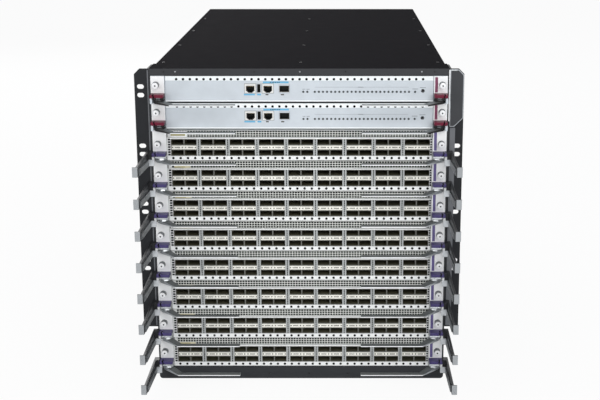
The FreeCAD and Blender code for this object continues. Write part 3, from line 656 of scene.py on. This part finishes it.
class SWITCH_OT_line_fronts(bpy.types.Operator):
    """Grille, mesh, pillars, marker strip, drilled strip and labels on the face of each line card, the mesh darker
    and the drilled strip backed by a dark sheet, both painted shade
    """
    bl_idname = "switch.line_fronts"
    bl_label = "Line card fronts"

    def execute(self, context):
        sizes = context.scene.switch_sizes
        left, right = -FIELD + 5.0, FIELD - 1.5
        grille = pierced((right - left, 10.2), (sizes.grille_columns, 3), 0.4, "grille",
                         ((left + right) / 2, 5.5, 39.4))
        on_cards(grille, LINE_CARDS, "grille")

        columns, mesh_height, mesh_rim = sizes.mesh_columns, 1.75, 0.36
        lower = pierced((2 * FIELD - 1, mesh_height), (columns, 1), mesh_rim, "mesh", (0, 6.95, 44.4), 45.0)
        upper = pierced((2 * FIELD - 1 - 2 * FIELD / columns, mesh_height), (columns - 1, 1), mesh_rim, "mesh",
                        (0, 8.19, 45.64), 45.0)
        on_cards(join(lower, upper), LINE_CARDS, "mesh")

        gap = GROUP_PITCH - PORT_STEP - PORT_WIDTH
        pillar = pierced((gap - 0.3, 25.2), (3, 8), 0.28, "pillar",
                         (PORT_SHIFT - (GROUPS - 2) * GROUP_PITCH / 2, -0.35, 19.9),
                         chosen=lambda centre, normal: abs(centre.x) < 0.5 * MM)
        on_cards(row(pillar, GROUPS - 1, GROUP_PITCH), LINE_CARDS, "pillars")

        end_height, end_y, end_z = 30.4, -0.42, 18.6
        ends = [pierced((4.6, end_height), (1, 8), 0.5, "line_face", (-FIELD + 3.2, end_y, end_z)),
                pierced((3.4, end_height), (1, 8), 0.4, "line_face", (FIELD - 1.8, end_y, end_z))]
        on_cards(join(*ends), LINE_CARDS, "end_holes")

        group = -(GROUPS - 1) * GROUP_PITCH / 2 + PORT_SHIFT
        strip = cuboid((group - 18.4, group + 18.4), (-0.35, 0.12), (17.0, 22.8), "marker", 0.15)
        dashes = [(-7.2, 0.8), (7.2, 0.8)] + [(1.6 * i, 0.5) for i in (-2, -1, 0, 1, 2)]
        marks = []
        for port in (-PORT_STEP / 2, PORT_STEP / 2):
            for offset, half in dashes:
                x = group + port + offset
                marks.append(cuboid((x - half, x + half), (-0.42, -0.3), (19.0, 20.9), "marks"))
        on_cards(row(join(strip, *marks), GROUPS, GROUP_PITCH), LINE_CARDS, "marker_strip")

        holes_each = 4
        step = GROUP_PITCH / holes_each
        first = PORT_SHIFT - (GROUPS * holes_each - 1) / 2 * step
        vents = cuboid((-FIELD + 0.2, FIELD - 0.2), SHEET_DEPTH, (0.8, 7.0), "line_face", 0.12)
        hole = turned(first, (-1, 1), 3.9, sizes.line_hole / MM, "hole", 14)
        vents = drilled(vents, row(hole, GROUPS * holes_each, step))
        # Dark sheet behind the drilled strip: painted shade seen through its holes.
        shade_backing = cuboid((-FIELD + 1.5, FIELD - 1.5), SHADE_BACKING_DEPTH, (1.2, 6.6), "hole", 0.02)
        on_cards(join(vents, shade_backing), LINE_CARDS, "vent_strip")

        for number, card in enumerate(LINE_CARDS):
            if number == 0:
                label = join(cuboid((-192.6, -167.6), LABEL_DEPTH, (34.6, 43.4), "panel_white", 0.15),
                             cuboid((-191.4, -169.8), LABEL_PRINT_DEPTH, (36.6, 40.2), "label", 0.1))
            else:
                label = join(cuboid((-187.5, -163.5), LABEL_DEPTH, (34.5, 37.2), "pale_label", 0.15),
                             cuboid((-187.2, -171.5), LABEL_PRINT_DEPTH, (35.2, 36.2), "label", 0.1))
            on_cards(label, [card], "label")
        return {"FINISHED"}


def jack_front(x, width, height, wide, high, notch, finish):
    """Bezel round a jack's opening; a notched one has steps below the opening, contacts, a dark outline and a dark
    block behind the steps, painted shade seen through the notch.
    """
    z = JACK_FLOOR + height / 2
    floor, ceiling = z - high / 2, z + high / 2
    bezel = cuboid((x - width / 2, x + width / 2), (-0.7, 0), (JACK_FLOOR, JACK_FLOOR + height), finish, 0.25)
    bezel = drilled(bezel, cuboid((x - wide / 2, x + wide / 2), THROUGH, (floor, ceiling), "hole"))
    if not notch:
        return bezel
    for half, drop in NOTCHES:
        bezel = drilled(bezel, cuboid((x - half, x + half), THROUGH, (floor - drop, z), "hole"))
    # Dark block behind the notch: painted shade seen through it.
    key = cuboid((x - 4.6, x + 4.6), (-0.35, LIFT), (floor - 2.4, floor), "hole", 0.05)
    rim = cuboid((x - width / 2 - 0.5, x + width / 2 + 0.5), PRINT_DEPTH,
                 (JACK_FLOOR - 0.5, JACK_FLOOR + height + 0.5), "knurl")
    rim = drilled(rim, cuboid((x - 8, x + 8), THROUGH, (JACK_FLOOR + 0.6, JACK_FLOOR + height - 0.4), "hole"))
    pins = cuboid((x - 3.9, x - 3.5), (1.0, 8.0), (ceiling - 1.4, ceiling - 0.9), "contact", 0.1)
    return join(bezel, rim, key, row(pins, 8, 1.06))


class SWITCH_OT_control_fronts(bpy.types.Operator):
    """Drilled band, jack bezels, labels and lamps on the face of each control card, with dark sheets behind the
    band's holes and along the card's edges as painted shade
    """
    bl_idname = "switch.control_fronts"
    bl_label = "Control card fronts"

    def execute(self, context):
        sizes = context.scene.switch_sizes
        across = (-FIELD + 0.2, FIELD - 0.2)
        band = cuboid(across, SHEET_DEPTH, (32.9, 39.6), "control_band", 0.15)
        hole = turned(-179.7, (-1, 1), 34.9, sizes.control_hole / MM, "hole", 16)
        band = drilled(band, row(hole, 37, 10.02))
        # Dark sheet behind the drilled band: painted shade seen through its holes.
        shade_backing = cuboid((-FIELD + 1.5, FIELD - 1.5), SHADE_BACKING_DEPTH, (33.2, 39.0), "hole", 0.02)
        low = cuboid(across, (-0.3, LIFT), (1.7, 3.6), "control_band", 0.12)
        # Dark strips along the card's lower and upper edges: painted shade in the gaps between cards.
        gap_shades = [cuboid(across, (-0.7, LIFT), z, "painted_shade", 0.1) for z in ((0.6, 1.6), (39.6, 40.5))]
        on_cards(join(band, shade_backing, low, *gap_shades), CONTROL_CARDS, "vent_band")

        jacks = [jack_front(*jack) for jack in JACKS]
        on_cards(join(*jacks), CONTROL_CARDS, "jack_bezels")

        prints = [cuboid(x, PRINT_DEPTH, z, finish, 0.06) for x, z, finish in PRINTS]
        prints += [cuboid((x - 0.7, x + 0.7), (-0.26, -0.15), (29.6, 30.9), "marks")
                   for x in (-42, -39.4, -37.2, -34.6, -32, -29.4)]
        on_cards(join(*prints), CONTROL_CARDS, "labels")

        lamps = [row(turned(22.7, LAMP_DEPTH, LAMP_RISE, LAMP_RADIUS, "lamp_off", 12, soft=0.3), 24, 6.0)]
        lamps += [turned(x, LAMP_DEPTH, LAMP_RISE, LAMP_RADIUS, "lamp_off", 12, soft=0.3)
                  for x in (5.9, 11.8, 169.6)]
        lamps.append(hoop(181.0, -0.2, 17.7, 2.3, 0.35, "black", 20))
        on_cards(join(*lamps), CONTROL_CARDS, "lamps")
        return {"FINISHED"}


class SWITCH_OT_end_panels(bpy.types.Operator):
    """White end panels, coloured stripes and release latches at the ends of the cards, with a dark plate under each
    latch and a dark slit in it as painted shade
    """
    bl_idname = "switch.end_panels"
    bl_label = "End panels and latches"

    def execute(self, context):
        cards_of = {"control": CONTROL_CARDS, "line": LINE_CARDS}
        for kind, top in (("control", 39.6), ("line", 45.9)):
            skin = cuboid((197.2, 217.0), (-2.35, -1.98), (14.6, top), "panel_white", 0.15)
            on_both_ends(skin, cards_of[kind], "end_skins")
        for kind, top in (("control", 38.2), ("line", 43.2)):
            stripe = cuboid((198.6, 202.8), (-2.55, -2.3), (15.6, top), kind + "_stripe", 0.12)
            on_cards(stripe, cards_of[kind], "stripe")
        for kind, cap_finish in (("control", "black"), ("line", "steel")):
            latch = cuboid((197.4, 216.9), (-17.4, -2.1), (9.7, 14.4), kind + "_latch")
            choose(latch, lambda centre, normal: abs(normal.x) > FACING)
            bpy.ops.mesh.subdivide(number_cuts=1)
            leave()
            soften(latch, 0.5 * MM)
            # The slit's walls take the black finish of the cutting tool: painted shade inside the slit.
            slit = placed(cuboid((-0.9, 0.9), (-24, -9), (-5, 5), "black"), (211.6, 0, 12), (math.radians(20), "Y"))
            latch = drilled(latch, slit)
            latches = [copied(latch, "latch", slot_floor(card), side) for card in cards_of[kind] for side in (1, -1)]
            bpy.data.objects.remove(latch)
            mount(join(*latches), kind + "_latches_softened", replaces=[kind + "_latches"])
            cap = cuboid((PIN_X - 7.9, PIN_X + 7.9), (-17.6, -0.4), (7.12, 9.66), cap_finish, 0.5)
            # Dark plate under the latch and the lever's root: painted shade.
            shade = cuboid((197.3, 213.5), (-0.3, LIFT), (0.8, 14.2), "painted_shade", 0.1)
            on_both_ends(join(cap, shade), cards_of[kind], "lug_caps_and_shades")
        return {"FINISHED"}


class SWITCH_OT_knobs(bpy.types.Operator):
    """Captive screws with ribbed knobs and a socket in the front of each; the socket is painted dark as painted
    shade, and the grey collar and knurled side are partly knurling, partly painted shade
    """
    bl_idname = "switch.knobs"
    bl_label = "Captive screws"

    def execute(self, context):
        radius = context.scene.switch_sizes.knob_radius / MM
        rib_rim, rib_depth, socket_radius = 0.16, 0.25, 1.3
        collar = turned(SCREW_X, (-3.2, -2.2), 0, radius + 0.3, "knurl", 28, soft=0.3)
        body = turned(SCREW_X, (-11.3, -3.1), 0, radius, "knob", 32)
        choose(body, lambda centre, normal: abs(normal.y) < 0.5)
        bpy.ops.mesh.inset(thickness=rib_rim * MM, use_individual=True)
        bpy.ops.mesh.extrude_region_shrink_fatten(TRANSFORM_OT_shrink_fatten={"value": -rib_depth * MM})
        leave()
        body = soften(body, 0.1 * MM, 1)
        face = turned(SCREW_X, (-12.0, -11.2), 0, radius - 0.35, "knob", 32, soft=0.35)
        # The socket's walls take the tool's near-black finish: painted shade in the recess.
        face = drilled(face, turned(SCREW_X, (-13, -11.4), 0, socket_radius, "painted_shade", 6))
        # The sides are grey, darker than the white front: partly the knurl, partly painted shade.
        repaint(body, "knurl", lambda centre, normal: normal.y > -0.8)
        knob = join(smooth(collar), body, smooth(face))
        knobs = [copied(knob, "knob", slot_floor(card) + rise, side)
                 for cards, rise in ((CONTROL_CARDS, CONTROL_SCREW_RISE), (LINE_CARDS, LINE_SCREW_RISE))
                 for card in cards for side in (1, -1)]
        bpy.data.objects.remove(knob)
        mount(join(*knobs), "captive_knobs", replaces=["captive_screws"])
        return {"FINISHED"}


class SWITCH_OT_levers(bpy.types.Operator):
    """Ejector levers with rounded edges, a painted highlight on the front edge, painted shade on the blade's top and
    a dark or plain root
    """
    bl_idname = "switch.levers"
    bl_label = "Ejector levers"

    def execute(self, context):
        sizes = context.scene.switch_sizes
        front = spot(0, -LEVER_REACH + 1.2, 0).y
        for node in sorted(name for name in NODES if "_lever_" in name):
            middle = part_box(node)[0].z + BLADE_MIDDLE * MM
            lever = refined(node, "steel", sizes.lever_edge)
            edit(lever, "VERT")
            leave()
            for vertex in lever.data.vertices:
                vertex.select = abs(vertex.co.x) < BLADE_END * MM and vertex.co.z < middle
            bpy.ops.object.mode_set(mode="EDIT")
            bpy.ops.transform.translate(value=(0, 0, sizes.blade_trim))
            leave()
            # Blade tops darker: painted shade.
            repaint(lever, "lever_top_shade", lambda centre, normal: normal.z > 0.6 and abs(centre.x) < BLADE_END * MM)
            # Front edges near white: painted highlight.
            repaint(lever, "painted_highlight", lambda centre, normal: normal.y < -0.5 and centre.y < front)
            if node.startswith("control"):
                repaint(lever, "black", lambda centre, normal: abs(centre.x) > BLACK_ROOT * MM)
            mount(smooth(lever, 25), node + "_softened", body=node, replaces=[node])
        return {"FINISHED"}


class SWITCH_OT_arms(bpy.types.Operator):
    """Cable arms with pale tips and steel strips, their edges rounded, the strips darker in front of their feet as
    painted shade
    """
    bl_idname = "switch.arms"
    bl_label = "Cable arms"

    def execute(self, context):
        soft = context.scene.switch_sizes.soft_edge
        arms = refined("cable_arms", "arms", soft)
        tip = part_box("cable_arms")[0].y + 0.2 * MM
        repaint(arms, "arm_tip", lambda centre, normal: normal.y < -FACING and centre.y < tip)
        mount(arms, "cable_arms_softened", replaces=["cable_arms"])
        strips = refined("arm_strips", "strip", soft)
        foot = spot(0, STRIP_SHADE_FROM, 0).y
        # Strips darker in front of their feet: painted shade.
        repaint(strips, "strip_painted_shade", lambda centre, normal: centre.y < foot)
        mount(strips, "arm_strips_softened", replaces=["arm_strips"])
        return {"FINISHED"}


class SWITCH_OT_rear(bpy.types.Operator):
    """Fan guards, tray screws, power unit grilles, inlets and lamps at the rear"""
    bl_idname = "switch.rear"
    bl_label = "Rear hardware"

    def execute(self, context):
        wire = context.scene.switch_sizes.guard_wire / MM / 2
        reach = 81.0  # of a guard's spokes, to its screws
        corners = [math.pi / 4 * (2 * i + 1) for i in range(4)]
        for level in ("lower", "upper"):
            tray = "fan_tray_" + level
            low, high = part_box(tray)
            middle, top = (low.z + high.z) / 2 / MM, high.z / MM
            parts = []
            for x in (-FAN_X, FAN_X):
                parts += [hoop(x, REAR + 1.6, middle, radius, wire, "steel", 44)
                          for radius in (16, 27, 38, 49, 60, 71, 80)]
                for number in range(4):
                    spoke = turned(0, (-reach, reach), 0, wire, "steel", 8)
                    lean = math.pi / 4 * (number + 0.5)
                    parts.append(placed(spoke, (x, REAR + 0.7, middle), (math.pi / 2, "X"), (lean, "Y")))
                parts += [turned(x + reach * math.cos(a), (REAR, REAR + 2.4), middle + reach * math.sin(a), 2.6,
                                 "screw", 14, soft=0.4) for a in corners]
            parts += [turned(x, (REAR, REAR + 6), top - 10 - drop, 4.6, "knob", 20, soft=0.6)
                      for x in (-203, 203) for drop in (0, 166)]
            parts.append(cuboid((-5, 5), (REAR, REAR + 1.2), (middle + 32, middle + 36), "lamp_green", 0.4))
            mount(join(*parts), f"fan_guards_{level}")
            mount(refined(tray, "tray", 0.5 * MM), tray + "_softened", replaces=[tray])

        units = 4
        low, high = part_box("power_supplies")
        left, base, width = low.x / MM, low.z / MM, (high.x - low.x) / MM / units
        blades = ((-7, 20), (7, 20), (0, 26))
        parts = []
        for number in range(units):
            x = left + width * (number + 0.5)
            sheet = pierced((88, 30), (26, 9), 0.7, "tray", (0, 0, 0))
            parts.append(placed(sheet, (x, REAR + SHEET_THICKNESS, base + 56), (math.pi, "Z")))
            parts += [cuboid((x + offset - 1.2, x + offset + 1.2), (REAR - 13, REAR - 3),
                             (base + z - 2.6, base + z + 2.6), "contact", 0.3) for offset, z in blades]
            # Dark plate at the back of the inlet: painted shade inside the opening.
            parts.append(cuboid((x - 14, x + 14), (REAR - 15.9, REAR - 15.2), (base + 11, base + 33), "painted_shade", 0.1))
            parts.append(cuboid((x + 30, x + 44), (REAR, REAR + 5), (base + 12, base + 30), "control_latch", 1.0))
            parts += [turned(x - 38, (REAR, REAR + 0.8), base + z, 1.8, finish, 14, soft=0.3)
                      for z, finish in ((16, "lamp_green"), (24, "lamp_off"))]
        mount(join(*parts), "power_faces")
        modules = refined("power_supplies", "module", 0.6 * MM)
        mount(modules, "power_supplies_softened", replaces=["power_supplies"])
        return {"FINISHED"}


class SWITCH_OT_stage(bpy.types.Operator):
    """Pale floor, soft lamps, white surroundings and the camera"""
    bl_idname = "switch.stage"
    bl_label = "Stage"

    def execute(self, context):
        scene = context.scene
        scene.view_settings.view_transform = "Standard"
        world = bpy.data.worlds.new("studio")
        scene.world = world
        world.use_nodes = True
        nodes, links = world.node_tree.nodes, world.node_tree.links
        seen, light = nodes["Background"], nodes.new("ShaderNodeBackground")
        seen.inputs["Color"].default_value = (1, 1, 1, 1)
        seen.inputs["Strength"].default_value = 1.0
        light.inputs["Color"].default_value = WORLD_TINT
        light.inputs["Strength"].default_value = WORLD_LIGHT
        path = nodes.new("ShaderNodeLightPath")
        either, mix = nodes.new("ShaderNodeMath"), nodes.new("ShaderNodeMixShader")
        either.operation = "MAXIMUM"
        links.new(path.outputs["Is Camera Ray"], either.inputs[0])
        links.new(path.outputs["Is Glossy Ray"], either.inputs[1])
        links.new(either.outputs["Value"], mix.inputs["Fac"])
        links.new(light.outputs["Background"], mix.inputs[1])
        links.new(seen.outputs["Background"], mix.inputs[2])
        links.new(mix.outputs["Shader"], nodes["World Output"].inputs["Surface"])

        deselect()
        bpy.ops.mesh.primitive_grid_add(x_subdivisions=8, y_subdivisions=8, size=14.0, location=(0, 0, -0.0005))
        floor = settle(context.object)
        floor.name = "studio_floor"
        cloth = surface("floor_paper", tone(246, 246, 246), 0.9, vary=0.01, cloud=2.0, grain=0.0)
        nodes, links = cloth.node_tree.nodes, cloth.node_tree.links
        glow, path = nodes.new("ShaderNodeEmission"), nodes.new("ShaderNodeLightPath")
        share, mix = nodes.new("ShaderNodeMath"), nodes.new("ShaderNodeMixShader")
        share.operation = "MULTIPLY"
        share.inputs[1].default_value = FLOOR_GLOW
        links.new(path.outputs["Is Camera Ray"], share.inputs[0])
        links.new(share.outputs["Value"], mix.inputs["Fac"])
        links.new(nodes["Principled BSDF"].outputs["BSDF"], mix.inputs[1])
        links.new(glow.outputs["Emission"], mix.inputs[2])
        links.new(mix.outputs["Shader"], nodes["Material Output"].inputs["Surface"])
        floor.data.materials.append(cloth)

        for name, place, aim, size, energy in STAGE_LAMPS:
            data = bpy.data.lights.new(name, "AREA")
            data.shape, data.size, data.size_y, data.energy = "RECTANGLE", *size, energy
            lamp = bpy.data.objects.new(name, data)
            lamp.location = place
            lamp.rotation_euler = (Vector(aim) - Vector(place)).to_track_quat("-Z", "Y").to_euler()
            scene.collection.objects.link(lamp)

        data = bpy.data.cameras.new("camera")
        data.lens, data.sensor_width = CAMERA_LENS, 36.0
        data.shift_x, data.shift_y = CAMERA_SHIFT
        camera = bpy.data.objects.new("camera", data)
        camera.location = CAMERA_PLACE
        camera.rotation_euler = (math.radians(90.0 - CAMERA_DOWN), 0, 0)
        scene.collection.objects.link(camera)
        scene.camera = camera
        return {"FINISHED"}


STEPS = (SWITCH_OT_finishes, SWITCH_OT_sheet_metal, SWITCH_OT_screws, SWITCH_OT_line_fronts,
         SWITCH_OT_control_fronts, SWITCH_OT_end_panels, SWITCH_OT_knobs, SWITCH_OT_levers,
         SWITCH_OT_arms, SWITCH_OT_rear, SWITCH_OT_stage)


class SWITCH_PT_panel(bpy.types.Panel):
    """Lists the groups of pieces, and their sizes and colours"""
    bl_label = "Modular Chassis Switch"
    bl_space_type = "VIEW_3D"
    bl_region_type = "UI"
    bl_category = "Switch"

    def draw(self, context):
        for step in STEPS:
            self.layout.operator(step.bl_idname)
        for settings in (context.scene.switch_sizes, context.scene.switch_colours):
            for name in settings.__annotations__:
                self.layout.prop(settings, name)


CLASSES = (SwitchSizes, SwitchColours) + STEPS + (SWITCH_PT_panel,)


def register():
    for item in CLASSES:
        bpy.utils.register_class(item)
    bpy.types.Scene.switch_sizes = PointerProperty(type=SwitchSizes)
    bpy.types.Scene.switch_colours = PointerProperty(type=SwitchColours)


def unregister():
    del bpy.types.Scene.switch_colours
    del bpy.types.Scene.switch_sizes
    for item in reversed(CLASSES):
        bpy.utils.unregister_class(item)


def main():
    register()
    for step in STEPS:
        group, name = step.bl_idname.split(".")
        getattr(getattr(bpy.ops, group), name)()
    deselect()


if __name__ == "__main__":
    main()
